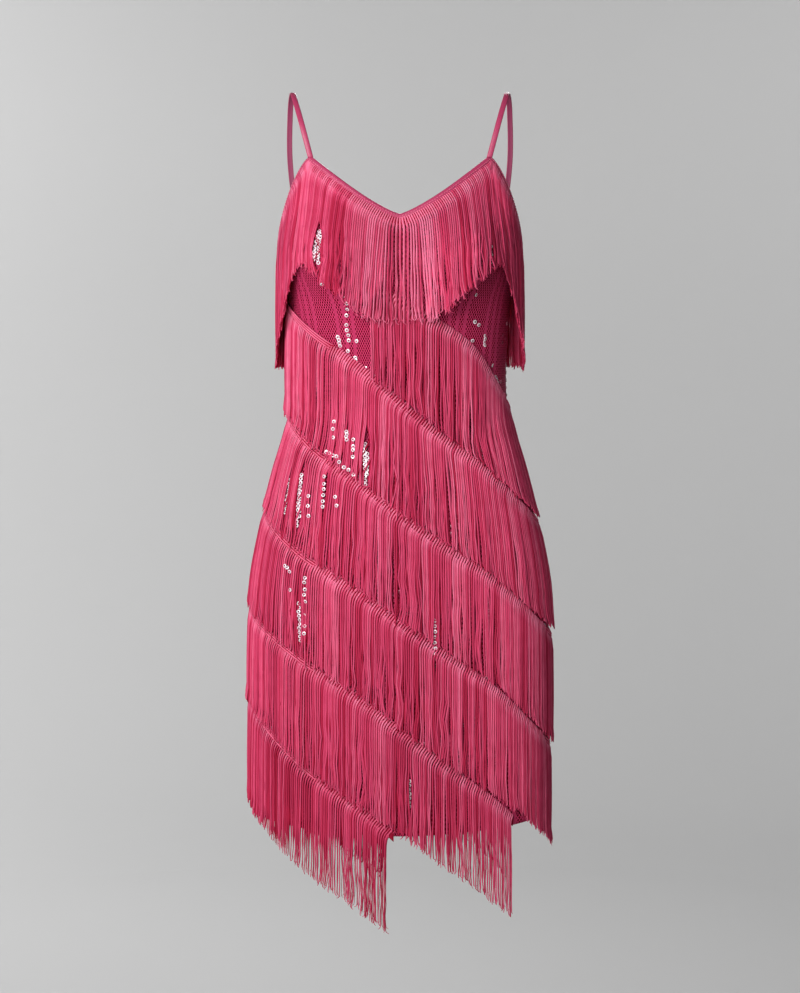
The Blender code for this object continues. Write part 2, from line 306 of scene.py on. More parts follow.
def row_level(row, angle):
    """Top edge of a slanting tape; the back mirrors the front."""
    turn = folded(angle)
    if abs(turn) > 90:
        turn = math.copysign(180 - abs(turn), turn)
    return curve((-90, -45, 0, 45, 90), row[1:6], turn, level_ends=True)


def in_row(row, angle):
    """Whether a row's tape passes this angle."""
    first, last = row[6:8]
    return any(first <= angle + turn <= last for turn in (-360, 0, 360))


def on_binding(angle, up):
    """Level a length up from the low edge of the binding, measured across it."""
    return top_edge(angle) - (BINDING - up) * steepness(top_edge, angle)


def eased(t):
    """Share that starts and ends softly, held to 0 and 1 outside."""
    t = min(max(t, 0.0), 1.0)
    return t * t * (3 - 2 * t)


def spread(first, last, step):
    """Even values from first to last, at most a step apart."""
    count = max(math.ceil(abs(last - first) / step), 1)
    return [first + (last - first) * i / count for i in range(count + 1)]


def distances(points):
    """Distance of each point from the first, along the line through them."""
    steps = (math.dist(a, b) for a, b in zip(points, points[1:]))
    return list(itertools.accumulate(steps, initial=0.0))


# ---------------------------------------------------------------- meshes

def add_piece(name, mesh):
    piece = bpy.data.objects.new(name, mesh)
    bpy.context.scene.collection.objects.link(piece)
    return piece


def grid_mesh(name, columns, marks=None, closed=False):
    """Open sheet through columns of points, each listed upwards, columns running right.

    marks gives each point's place on the flat cloth in metres, as columns of (across, up).
    """
    wide, tall = len(columns), len(columns[0])
    points = [point for column in columns for point in column]
    faces, corners = [], []
    for i in range(wide if closed else wide - 1):
        k = (i + 1) % wide
        for j in range(tall - 1):
            faces.append((i * tall + j, k * tall + j, k * tall + j + 1, i * tall + j + 1))
            if marks:
                corners += [marks[i][j], marks[i + 1][j], marks[i + 1][j + 1], marks[i][j + 1]]
    mesh = bpy.data.meshes.new(name)
    mesh.from_pydata(points, [], faces)
    if marks:
        flat = mesh.uv_layers.new(name="UVMap")
        flat.data.foreach_set("uv", [value for corner in corners for value in corner])
    mesh.shade_smooth()
    return mesh


def cloth_piece(name, columns, marks, thickness, offset, *materials):
    """Piece of cloth through columns of points; a second material paints its wrong side."""
    piece = add_piece(name, grid_mesh(name, columns, marks))
    for material in materials:
        piece.data.materials.append(material)
    wall = piece.modifiers.new("Cloth thickness", "SOLIDIFY")
    wall.thickness, wall.offset, wall.material_offset = thickness, offset, len(materials) - 1
    return piece


def path_mesh(name, points, edges, **values):
    """Bare points and edges, with named values at every point: one number each, or three."""
    mesh = bpy.data.meshes.new(name)
    mesh.from_pydata(points, edges, [])
    for label, numbers in values.items():
        three = len(numbers) > len(points)
        layer = mesh.attributes.new(label, "FLOAT_VECTOR" if three else "FLOAT", "POINT")
        layer.data.foreach_set("vector" if three else "value", numbers)
    return mesh


def finished(piece, nodes=()):
    """Attach a piece to the dress's root body empty, and hide the solids that it stands for."""
    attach(piece, "root")
    if nodes:
        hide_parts(*nodes)


# ---------------------------------------------------------------- materials

def new_material(name, color, roughness, gloss=0.5):
    """Material with a plain shader; returns it with its node tree and the shader."""
    material = bpy.data.materials.new(name)
    material.use_nodes = True
    shader = material.node_tree.nodes["Principled BSDF"]
    shader.inputs["Base Color"].default_value = (*color, 1)
    shader.inputs["Roughness"].default_value = roughness
    shader.inputs["Specular IOR Level"].default_value = gloss
    return material, material.node_tree, shader


def node(tree, kind, values=None, **settings):
    """Add a node, with its settings and its inputs: values, sockets, or nodes whose first
    output it takes."""
    made = tree.nodes.new(kind)
    for name, value in settings.items():
        setattr(made, name, value)
    for key, value in (values or {}).items():
        socket = made.inputs[key]
        if isinstance(value, bpy.types.Node):
            value = value.outputs[0]
        if isinstance(value, bpy.types.NodeSocket):
            tree.links.new(value, socket)
        else:
            socket.default_value = value
    return made


def maths(tree, operation, *values):
    """Result of a Math node on values or links."""
    return node(tree, "ShaderNodeMath", dict(enumerate(values)), operation=operation).outputs[0]


def wave(tree, distance, pitch, operation="SINE"):
    """Wave between -1 and 1 that comes round once in every pitch."""
    return maths(tree, operation, maths(tree, "MULTIPLY", distance, 2 * math.pi / pitch))


def noise(tree, place, scale, detail=2.0):
    """Cloudy value, 0 to 1."""
    return node(tree, "ShaderNodeTexNoise",
                {"Vector": place, "Scale": scale, "Detail": detail}).outputs["Fac"]


def attribute(tree, name):
    """Value kept on the mesh under a name."""
    return node(tree, "ShaderNodeAttribute", attribute_name=name).outputs["Fac"]


def object_place(tree):
    """Place on the object, in metres."""
    return node(tree, "ShaderNodeTexCoord").outputs["Object"]


def flat_place(tree):
    """Place on the flat cloth, in metres, then its two parts apart."""
    flat = node(tree, "ShaderNodeUVMap", uv_map="UVMap").outputs[0]
    parts = node(tree, "ShaderNodeSeparateXYZ", {0: flat})
    return flat, parts.outputs[0], parts.outputs[1]


def ramp(tree, factor, stops):
    """Colours at shares of a factor."""
    made = node(tree, "ShaderNodeValToRGB", {"Fac": factor})
    band = made.color_ramp
    while len(band.elements) < len(stops):
        band.elements.new(0.5)
    for element, (place, color) in zip(band.elements, stops):
        element.position = place
        element.color = (*color, 1)
    return made.outputs["Color"]


def blended(tree, factor, a, b):
    """Colour between two colours, by a factor."""
    made = node(tree, "ShaderNodeMix", data_type="RGBA")
    for key, value in ((0, factor), (6, a), (7, b)):
        if isinstance(value, bpy.types.NodeSocket):
            tree.links.new(value, made.inputs[key])
        else:
            made.inputs[key].default_value = (*value, 1) if isinstance(value, tuple) else value
    return made.outputs[2]


def mapped(tree, value, low, high, out_low, out_high):
    """Value from one range carried over to another, and held to its ends."""
    return node(tree, "ShaderNodeMapRange",
                {0: value, 1: low, 2: high, 3: out_low, 4: out_high}).outputs[0]


def dressed(tree, shader, tone, rough, height, strength, distance):
    """Link colour, roughness and relief to the shader."""
    tree.links.new(tone, shader.inputs["Base Color"])
    tree.links.new(rough, shader.inputs["Roughness"])
    relief = node(tree, "ShaderNodeBump",
                  {"Height": height, "Strength": strength, "Distance": distance})
    tree.links.new(relief.outputs[0], shader.inputs["Normal"])


def shaded(color, share):
    """The colour, darker below 1 and lighter above it."""
    return tuple(value * share for value in color)


def deeper(color, share):
    """The colour, darker and more saturated."""
    return (color[0] * share, color[1] * share**3, color[2] * share**2.4)


def yarn_material(settings):
    """Satin yarn: each strand has its own tone, with painted shade and painted highlights, and a
    faint twist along it.
    """
    color = settings.yarn_color
    material, tree, shader = new_material("fringe_yarn", color, 0.46, gloss=0.0)
    # the shade value holds each strand's random tone with painted shade and painted highlight
    # added; the light top stops are reached mostly by the painted highlight
    tone = ramp(tree, attribute(tree, "shade"), [
        (0.0, deeper(color, 0.42)), (0.35, deeper(color, 0.76)), (0.58, color),
        (0.80, (0.82, 0.135, 0.255)), (1.0, (0.92, 0.22, 0.37))])
    cloud = noise(tree, object_place(tree), 60.0)
    tone = blended(tree, mapped(tree, cloud, 0.4, 0.7, 0.0, 0.25), tone, deeper(color, 0.65))
    twist = maths(tree, "SINE", maths(tree, "MULTIPLY", attribute(tree, "along"), YARN_TWIST))
    dressed(tree, shader, tone, mapped(tree, cloud, 0.3, 0.7, 0.38, 0.54), twist, 0.15, 0.0002)
    return material


def tape_material(settings):
    """Stitched head of the fringe trim: fine ribs across the tape, painted dark as shade between
    the strands that lie on it.
    """
    color = settings.yarn_color
    material, tree, shader = new_material("fringe_head", color, 0.5, gloss=0.0)
    _, along, _ = flat_place(tree)
    rib = mapped(tree, wave(tree, along, TAPE_RIB), -1.0, 1.0, 0.0, 1.0)
    # painted shade: the tape is dark where it shows between the rib strands, and darker in the
    # grooves between its own ribs
    tone = ramp(tree, rib, [(0.0, deeper(color, 0.35)), (1.0, deeper(color, 0.65))])
    dressed(tree, shader, tone, mapped(tree, rib, 0.0, 1.0, 0.6, 0.42), rib, 0.5, 0.0006)
    return material


def cloth_material(settings):
    """Stretch mesh: a dark diagonal net, with a few plain bands running down it."""
    color = settings.cloth_color
    material, tree, shader = new_material("sequin_mesh", color, 0.6, gloss=0.04)
    flat, across, up = flat_place(tree)
    cloud = noise(tree, flat, 90.0, 3.0)

    def threads(direction):
        lean = maths(tree, "ADD", across, maths(tree, "MULTIPLY", up, 0.75 * direction))
        wander = maths(tree, "MULTIPLY", cloud, 0.0016)
        line = wave(tree, maths(tree, "ADD", lean, wander), settings.net_size)
        return mapped(tree, line, 0.55, 0.85, 0.0, 1.0)

    def stripes(width, low, high):
        line = wave(tree, maths(tree, "ADD", across, BAND_SHIFT), width, "COSINE")
        return mapped(tree, line, low, high, 0.0, 1.0)

    net = maths(tree, "MAXIMUM", threads(1), threads(-1))
    band = maths(tree, "MULTIPLY", stripes(settings.band_width, 0.15, 0.35),
                 stripes(settings.band_width * 5, -0.25, -0.10))
    hole = ramp(tree, cloud, [(0.3, deeper(color, 0.10)), (0.7, deeper(color, 0.20))])
    net_tone = blended(tree, net, hole, shaded(color, 1.3))
    plain = blended(tree, noise(tree, flat, 620.0), shaded(color, 0.75), tuple(color))
    dressed(tree, shader, blended(tree, band, net_tone, plain),
            mapped(tree, net, 0.0, 1.0, 0.8, 0.5), net, 0.5, 0.0006)
    return material


def satin_material(settings):
    """Smooth stretch satin of the bound edges and ribbons, ribbed where it is stitched, with
    painted shade in the rib grooves.
    """
    color = settings.satin_color
    material, tree, shader = new_material("edge_satin", color, 0.38, gloss=0.4)
    flat, along, across = flat_place(tree)
    weave = noise(tree, flat, 900.0, 3.0)
    rib = wave(tree, along, SATIN_RIB)
    edge = mapped(tree, across, 0.0012, 0.0032, 1.0, 0.12)
    # painted shade in the grooves between the stitched ribs near the edge
    painted_groove_shade = maths(tree, "MULTIPLY", edge, mapped(tree, rib, -1.0, 0.6, 0.75, 0.0))
    tone = ramp(tree, weave, [(0.3, shaded(color, 0.78)), (0.7, color)])
    relief = maths(tree, "ADD", maths(tree, "MULTIPLY", rib, edge),
                   maths(tree, "MULTIPLY", weave, 0.3))
    dressed(tree, shader, blended(tree, painted_groove_shade, tone, shaded(color, 0.35)),
            mapped(tree, weave, 0.3, 0.7, 0.3, 0.46), relief, 0.3, 0.0004)
    return material


def grained_material(name, color, dark, scale, detail, rough, strength, distance):
    """Matt material whose fine grain darkens it, dulls it and raises it."""
    material, tree, shader = new_material(name, color, sum(rough) / 2)
    grain = noise(tree, object_place(tree), scale, detail)
    tone = ramp(tree, grain, [(0.3, shaded(color, dark)), (0.7, color)])
    dressed(tree, shader, tone, mapped(tree, grain, 0.3, 0.7, *rough), grain, strength, distance)
    return material


def shaded_wrong_side_material(settings):
    """Matt wrong side of the ribbons, painted darker as shade on the inner side."""
    return grained_material("ribbon_shaded_wrong_side", settings.shaded_wrong_side_color, 0.8, 900.0, 3.0,
                            (0.5, 0.7), 0.2, 0.0003)


def thread_material(settings):
    """Pale machine stitches."""
    return grained_material("stitch_thread", settings.thread_color, 0.7, 1500.0, 2.0,
                            (0.4, 0.6), 0.3, 0.0002)


def sequin_material(settings):
    """Foil rings, each with its own tint; the top of the tint range is a painted near-white glint.
    """
    color = settings.sequin_color
    material, tree, shader = new_material("sequin_foil", color, 0.2, gloss=0.9)
    shader.inputs["Metallic"].default_value = 0.1
    # painted glint: tints from 0.6 up, given to the runs that show from the front, reach near white
    tone = ramp(tree, attribute(tree, "tint"), [
        (0.0, (0.16, 0.006, 0.03)), (0.3, (0.55, 0.05, 0.16)), (0.55, color),
        (1.0, (1.0, 0.93, 0.98))])
    scuff = noise(tree, object_place(tree), 700.0)
    dressed(tree, shader, tone, mapped(tree, scuff, 0.3, 0.7, 0.16, 0.34), scuff, 0.2, 0.0003)
    return material


def paper_material(settings):
    """Matt backdrop paper with a very faint mottle."""
    color = settings.paper_color
    material, tree, shader = new_material("backdrop_paper", color, 0.95, gloss=0.1)
    mottle = noise(tree, object_place(tree), 0.8)
    tone = ramp(tree, mottle, [(0.3, shaded(color, 0.985)), (0.7, color)])
    tree.links.new(tone, shader.inputs["Base Color"])
    return material


def known_material(name):
    """The material of this name, made when it is first asked for."""
    makers = {"fringe_yarn": yarn_material, "fringe_head": tape_material,
              "sequin_mesh": cloth_material, "edge_satin": satin_material,
              "ribbon_shaded_wrong_side": shaded_wrong_side_material, "stitch_thread": thread_material,
              "sequin_foil": sequin_material, "backdrop_paper": paper_material}
    return bpy.data.materials.get(name) or makers[name](current())


# ---------------------------------------------------------------- node trees that repeat things

def new_tree(name, inputs):
    """Geometry tree with named inputs, a geometry way in and out, and a material input."""
    tree = bpy.data.node_groups.new(name, "GeometryNodeTree")
    tree.interface.new_socket("Geometry", in_out="OUTPUT", socket_type="NodeSocketGeometry")
    tree.interface.new_socket("Geometry", in_out="INPUT", socket_type="NodeSocketGeometry")
    for label, kind in inputs:
        tree.interface.new_socket(label, in_out="INPUT", socket_type="NodeSocket" + kind)
    tree.interface.new_socket("Material", in_out="INPUT", socket_type="NodeSocketMaterial")
    return tree, tree.nodes.new("NodeGroupInput"), tree.nodes.new("NodeGroupOutput")


def end_tree(tree, way_in, way_out, geometry):
    """Smooth, realise and paint what the tree made."""
    smooth = node(tree, "GeometryNodeSetShadeSmooth", {0: geometry})
    real = node(tree, "GeometryNodeRealizeInstances", {0: smooth})
    paint = node(tree, "GeometryNodeSetMaterial",
                 {0: real, "Material": way_in.outputs["Material"]})
    tree.links.new(paint.outputs[0], way_out.inputs[0])
    return tree


def strand_tree():
    """Round yarn along each path of edges; the thickness value scales it from point to point."""
    tree, way_in, way_out = new_tree("Hanging strands", [
        ("Yarn Radius", "Float"), ("Sides", "Int")])
    path = node(tree, "GeometryNodeMeshToCurve", {0: way_in.outputs["Geometry"]})
    ring = node(tree, "GeometryNodeCurvePrimitiveCircle",
                {"Resolution": way_in.outputs["Sides"], 4: way_in.outputs["Yarn Radius"]})
    thick = node(tree, "GeometryNodeInputNamedAttribute", {0: "thickness"}, data_type="FLOAT")
    yarn = node(tree, "GeometryNodeCurveToMesh",
                {0: path, 1: ring, "Scale": thick, "Fill Caps": True})
    return end_tree(tree, way_in, way_out, yarn)


def facing_turn(tree, way):
    """Rotation that turns a thing's own up axis to a way."""
    return node(tree, "FunctionNodeAlignRotationToVector", {"Vector": way}, axis="Z")


def sequin_tree():
    """Flat ring on each point, facing along the facing value, each tilted by chance."""
    tree, way_in, way_out = new_tree("Sequin rings", [
        ("Ring Radius", "Float"), ("Ring Band", "Float"), ("Cup", "Float"),
        ("Tilt", "Float"), ("Seed", "Int")])
    given = way_in.outputs
    circle = node(tree, "GeometryNodeCurvePrimitiveCircle",
                  {"Resolution": 9, 4: given["Ring Radius"]})
    inner = node(tree, "ShaderNodeCombineXYZ", {0: given["Ring Band"], 1: given["Cup"]})
    outer = node(tree, "ShaderNodeVectorMath", {0: inner, 1: (-1, -1, -1)}, operation="MULTIPLY")
    band = node(tree, "GeometryNodeCurvePrimitiveLine", {"Start": inner, "End": outer})
    disc = node(tree, "GeometryNodeCurveToMesh", {0: circle, 1: band})
    facing = node(tree, "GeometryNodeInputNamedAttribute", {0: "facing"},
                  data_type="FLOAT_VECTOR")
    low = maths(tree, "MULTIPLY", given["Tilt"], -1.0)
    lows = node(tree, "ShaderNodeCombineXYZ", {0: low, 1: low, 2: -3.0})
    highs = node(tree, "ShaderNodeCombineXYZ", {0: given["Tilt"], 1: given["Tilt"], 2: 3.0})
    tilt = node(tree, "FunctionNodeRandomValue", {0: lows, 1: highs, 8: given["Seed"]},
                data_type="FLOAT_VECTOR")
    tilted = node(tree, "FunctionNodeRotateRotation", {0: facing_turn(tree, facing), 1: tilt},
                  rotation_space="LOCAL")
    rings = node(tree, "GeometryNodeInstanceOnPoints",
                 {0: given["Geometry"], "Instance": disc, "Rotation": tilted})
    return end_tree(tree, way_in, way_out, rings)


def stitch_tree():
    """Short thread lying along a path, once in every stitch length."""
    tree, way_in, way_out = new_tree("Machine stitches", [
        ("Stitch Length", "Float"), ("Thread Radius", "Float")])
    path = node(tree, "GeometryNodeMeshToCurve", {0: way_in.outputs["Geometry"]})
    places = node(tree, "GeometryNodeResampleCurve",
                  {0: path, 3: way_in.outputs["Stitch Length"]}, mode="LENGTH")
    ball = node(tree, "GeometryNodeMeshUVSphere",
                {"Segments": 6, "Rings": 4, "Radius": way_in.outputs["Thread Radius"]})
    longer = node(tree, "GeometryNodeTransform", {0: ball, "Scale": (1, 1, 2.2)})
    tangent = node(tree, "GeometryNodeInputTangent")
    laid = node(tree, "GeometryNodeInstanceOnPoints",
                {0: places, "Instance": longer, "Rotation": facing_turn(tree, tangent)})
    return end_tree(tree, way_in, way_out, laid)


def grown(name, mesh, tree, values):
    """Piece that a tree makes on a mesh, turned into a plain mesh."""
    piece = add_piece(name, mesh)
    step = piece.modifiers.new(tree.name, "NODES")
    step.node_group = tree
    for item in tree.interface.items_tree:
        if item.item_type == "SOCKET" and item.in_out == "INPUT" and item.name in values:
            step[item.identifier] = values[item.name]
    held = bpy.context.evaluated_depsgraph_get()
    plain = bpy.data.meshes.new_from_object(piece.evaluated_get(held),
                                            preserve_all_data_layers=True, depsgraph=held)
    piece.modifiers.clear()
    piece.data = plain
    plain.name = name
    if not plain.polygons:
        raise RuntimeError(name + " came out empty")
    return piece


# ---------------------------------------------------------------- strands

# A length of fringe trim: level_at, length_at and lean are asked for an angle; lean is None
# for a trim that hangs straight down
Trim = namedtuple("Trim", "name level_at first last out length_at lean")

# Chance shape that the strands of one bunch share
Bunch = namedtuple("Bunch", "middle pull sway wave pace phase rise lift")

# One strand of a rib: over or under the others, half pitches aside, where it starts down the
# tape, heights on the tape and below it, thinnest and thickest, and how much thinner past the hem
Layer = namedtuple("Layer", "over aside start on_tape hanging girth thinner")
UNDER = Layer(False, 1.0, 0.0074, 0.0006, 0.0015, (1.0, 1.2), 0.70)
BESIDE = Layer(True, 1.0, 0.0078, 0.0018, 0.0028, (0.6, 0.8), 0.34)
RIB = Layer(True, 0.0, 0.0, 0.0018, 0.0031, (0.88, 1.12), 0.34)

# Where a strand gets its points: down its head, then shares of its straight part and its tip
HEAD_MARKS = (0.0016, 0.005, 0.009, 0.0135, 0.020)
STRAIGHT_SHARES = (0.18, 0.36, 0.54, 0.72, 0.87, 1.0)
TIP_SHARES = (0.35, 0.7, 1.0)

STRAND_STEP = 0.005       # length between the turns worked out down a strand
CORD_DEPTH = 0.0072       # where strands start under a corded head
MOST_SLANT = 1.05         # most that a rib lies over, radians
PUSH_REACH, PUSH_FADE = 0.03, 0.007       # how far a parting pushes strands aside
SHORTEST, LONGEST = 0.112, 0.131          # strands that reach the next tape
BUST_UP = 0.0046          # top of the bust trim over the low edge of the binding
BUST_TURNS = (0, 18, 36, 60, 72, 80, 90)  # turns from centre front, with the lengths there
BUST_LENGTHS = (0.121, 0.127, 0.120, 0.121, 0.150, 0.141, 0.129)
BUNCH_SIZES = (1, 1, 2, 2, 2, 3, 3, 4)    # ribs in a bunch, picked by chance
MIDDLE_SHADE, DEEPER_ROWS = 0.60, {"tier_5": 0.55, "tier_6": 0.47}


def tape_spots(trim, pitch):
    """Angles a pitch apart along a tape."""
    angles = spread(trim.first, trim.last, 0.5)
    lengths = distances([on_body(angle, trim.level_at(angle), 0) for angle in angles])
    count = max(round(lengths[-1] / pitch), 1)
    result, k = [], 0
    for i in range(count):
        mark = (i + 0.5) * lengths[-1] / count
        while lengths[k + 1] < mark:
            k += 1
        share = (mark - lengths[k]) / (lengths[k + 1] - lengths[k])
        result.append(angles[k] + (angles[k + 1] - angles[k]) * share)
    return result


def parted(angle, level, per_degree):
    """Sideways push, in metres, of a strand beside a parting that bares the sequins."""
    push = 0.0
    for centre, top, low_centre, low, width in PARTINGS:
        if not low - 0.02 < level < top + 0.02:
            continue
        centre += (low_centre - centre) * min(max((top - level) / (top - low), 0.0), 1.0)
        gap = folded(angle - centre) * per_degree
        if abs(gap) < PUSH_REACH:
            share = eased((top + 0.008 - level) / 0.016) * eased((level - low + 0.008) / 0.016)
            push += math.copysign(width * share * math.exp(-abs(gap) / PUSH_FADE), gap)
    return push


def corded(angle):
    """Share, 0 to 1, of the ribless corded head that a tape has round the sides."""
    angle = folded(angle)
    reach = 17 if 0 < angle < 90 else 49      # ribs go on nearly to the side on the right front
    return eased((reach - abs(90 - abs(angle))) / 8)


def rib_slant(trim, spot, per_degree):
    """Turn of a rib that crosses its tape squarely; the bust's are upright at the side seams."""
    look = 4.0 if trim.lean else 0.5
    rise = trim.level_at(spot + look) - trim.level_at(spot - look)
    slant = max(min(math.atan2(rise, per_degree * look * 2), MOST_SLANT), -MOST_SLANT)
    return slant * eased((91 - abs(spot)) / 12) if trim.lean else slant


def strand_path(trim, layer, spot, length, lean, bunch, chance):
    """Points of one strand: a rib across the tape, round to the vertical, down, and a hooked tip.

    Each comes with its thickness and its length down the strand. A strand with a start beyond
    zero hangs from the low edge of the tape and makes no rib.
    """
    angle, level = spot, trim.level_at(spot) - 0.0002
    per_degree = math.dist(on_body(spot + 0.5, level, 0)[:2], on_body(spot - 0.5, level, 0)[:2])
    slant = rib_slant(trim, spot, per_degree)
    upright = 0.8 * eased((84 - abs(spot)) / 25) if trim.lean else 0.0
    reach = radius(angle, level)
    girth = chance.uniform(*layer.girth)
    phase, waves = chance.uniform(0, 6.3), chance.uniform(0.028, 0.06)
    amount = chance.uniform(0.0001, 0.0009)
    curl = chance.choice((-1, 1, 1)) * chance.uniform(0.1, 1.7)
    hook = chance.uniform(0.0030, 0.0060)
    straight = length - hook
    neck = HEAD_MARKS[-1]
    marks = [layer.start] + [mark for mark in HEAD_MARKS if mark > layer.start + 0.0012]
    marks += [neck + (straight - neck) * share for share in STRAIGHT_SHARES]
    marks += [straight + hook * share for share in TIP_SHARES]
    points, side, gone = [], 0.0, 0.0
    for mark in marks:
        steps = max(math.ceil((mark - gone) / STRAND_STEP), 1)
        piece = (mark - gone) / steps
        for step in range(steps if mark > gone else 0):
            along = gone + piece * (step + 0.5)
            heading = slant * (1 - eased((along - 0.005) / 0.015)) + lean * eased(along / 0.03)
            if mark > straight:
                heading += curl * (along - straight) / hook
            side += math.sin(heading) * piece
            level -= math.cos(heading) * piece
            angle = spot + side / per_degree
            further = max(reach, radius(angle, level))
            if upright:
                fall = math.tan(math.radians(max(min(angle, 55), -55)))
                side -= upright * (further - reach) * fall
            reach = further
        gone = mark
        # aside: free of the tape, the strand follows its bunch, waves and keeps off partings
        free = eased((mark - 0.014) / 0.07)
        sway = free * (bunch.sway + bunch.wave * math.sin(mark * bunch.pace + bunch.phase))
        if layer.over:
            sway += bunch.pull * free * (bunch.middle - spot) * per_degree
        else:
            sway *= 0.3
        sway += amount * free * math.sin(math.tau * mark / waves + phase)
        sway += parted(angle, level, per_degree) * eased((mark - 0.010) / 0.012)
        # outwards: over the tape, then off the strands below, with a lifted tip
        rise = layer.on_tape + (layer.hanging - layer.on_tape) * eased((mark - 0.008) / 0.014)
        if layer.over and not layer.start:
            rise -= (layer.on_tape + 0.0003) * (1 - eased(mark / 0.0022))
        rise += bunch.rise * free + bunch.lift * eased((mark - length + 0.016) / 0.016)
        # thinner to the tip and past the hem
        past_hem = eased((hem_edge(angle) + 0.006 - level) / 0.03)
        thick = 1.0 - 0.16 * eased((mark / length - 0.62) / 0.33)
        thick -= 0.38 * eased((mark - straight) / hook)
        thick *= girth * (1 - layer.thinner * past_hem)
        points.append((at(angle + sway / per_degree, level, reach + trim.out + rise), thick, mark))
    return points


def strands_mesh(trim, settings, seed):
    """Paths of every strand that hangs from one tape, in layers drawn into loose bunches."""
    chance = random.Random(seed)
    bust = trim.lean is not None
    spots = tape_spots(trim, settings.strand_pitch * (0.82 if bust else 1.0))
    half_turn = (spots[1] - spots[0]) / 2
    points, edges, thickness, shades, along = [], [], [], [], []
    i = 0
    while i < len(spots):
        together = spots[i:i + chance.choice(BUNCH_SIZES)]
        i += len(together)
        loose = chance.random() < 0.25
        bunch = Bunch(
            middle=sum(together) / len(together) + half_turn / 2,
            pull=chance.uniform(0.0, 0.22 if bust else 0.34),
            sway=chance.uniform(-0.0011, 0.0011),
            wave=chance.uniform(0.0008, 0.0021) if loose else chance.uniform(0.0, 0.0006),
            pace=chance.uniform(60, 125),
            phase=chance.uniform(0, 6.3),
            rise=chance.uniform(0.0, 0.0014),
            lift=chance.uniform(0.0002, 0.0022))
        tone = DEEPER_ROWS.get(trim.name, MIDDLE_SHADE) + chance.uniform(-0.13, 0.13)
        for angle in together:
            lean = trim.lean(angle) if bust else 0.0
            # painted light and shade on the bust trim: lighter in the hollow at centre front,
            # darker towards the sides
            middle = 0.18 - 0.26 * eased((abs(angle) - 12) / 20) if bust else 0.0
            start = 0.0 if "bust" in trim.name else CORD_DEPTH * corded(angle)
            for layer in (UNDER, BESIDE, RIB._replace(start=start)):
                if layer is BESIDE and chance.random() < (0.1 if bust else 0.6):
                    continue
                length = trim.length_at(angle) + chance.uniform(-0.0035, 0.002)
                if chance.random() < 0.02:
                    length += chance.uniform(0.003, 0.008)
                shade = tone + middle + chance.uniform(-0.22, 0.22)
                # an under strand is shorter, and painted darker as shade beneath the strands over
                # it
                if layer is UNDER:
                    length -= 0.003
                    shade -= 0.16 if bust else 0.26
                base = len(points)
                for point, thick, mark in strand_path(trim, layer, angle + layer.aside * half_turn,
                                                      length, lean, bunch, chance):
                    points.append(point)
                    thickness.append(thick)
                    # painted highlight on the head of each over strand, where it lies across the
                    # tape
                    painted_head_highlight = 0.34 * (1 - eased((mark - 0.008) / 0.010)) if layer.over else 0.0
                    shades.append(min(max(shade + painted_head_highlight, 0), 1))
                    along.append(mark)
                edges += [(k - 1, k) for k in range(base + 1, len(points))]
    return path_mesh("strands_" + trim.name, points, edges,
                     thickness=thickness, shade=shades, along=along)


def usual_length(angle):
    """Length of a strand with nothing to reach."""
    return current().strand_length


def row_length(row, below, angle):
    """Length of a row's strand: it just reaches the next tape, where there is one."""
    if below is None or not in_row(below, angle):
        return usual_length(angle)
    return min(max(row_level(row, angle) - row_level(below, angle) + 0.0005, SHORTEST), LONGEST)


def bust_length(angle):
    """Length of a strand of the front bust trim, longer towards the sides."""
    return curve(BUST_TURNS, BUST_LENGTHS, abs(angle))


def outwards(angle):
    """Lean of a strand of the front bust trim, away from the middle."""
    turn = 3.5 * eased(abs(angle) / 12) + 2.5 * eased((abs(angle) - 56) / 10)
    return math.radians(turn) * math.copysign(1, angle)


def trims():
    """Every length of fringe on the dress."""
    side = 90 - SEAM_ANGLE - 0.2
    level = functools.partial(on_binding, up=BUST_UP)
    result = [
        Trim("bust_front", level, -side, side, 0.0010, bust_length, outwards),
        Trim("bust_back", level, 180 - side, 180 + side, 0.0015, usual_length, None)]
    for row, below in itertools.zip_longest(ROWS, ROWS[1:]):
        result.append(Trim(row[0], functools.partial(row_level, row), *row[6:],
                           functools.partial(row_length, row, below), None))
    return result


# ---------------------------------------------------------------- settings

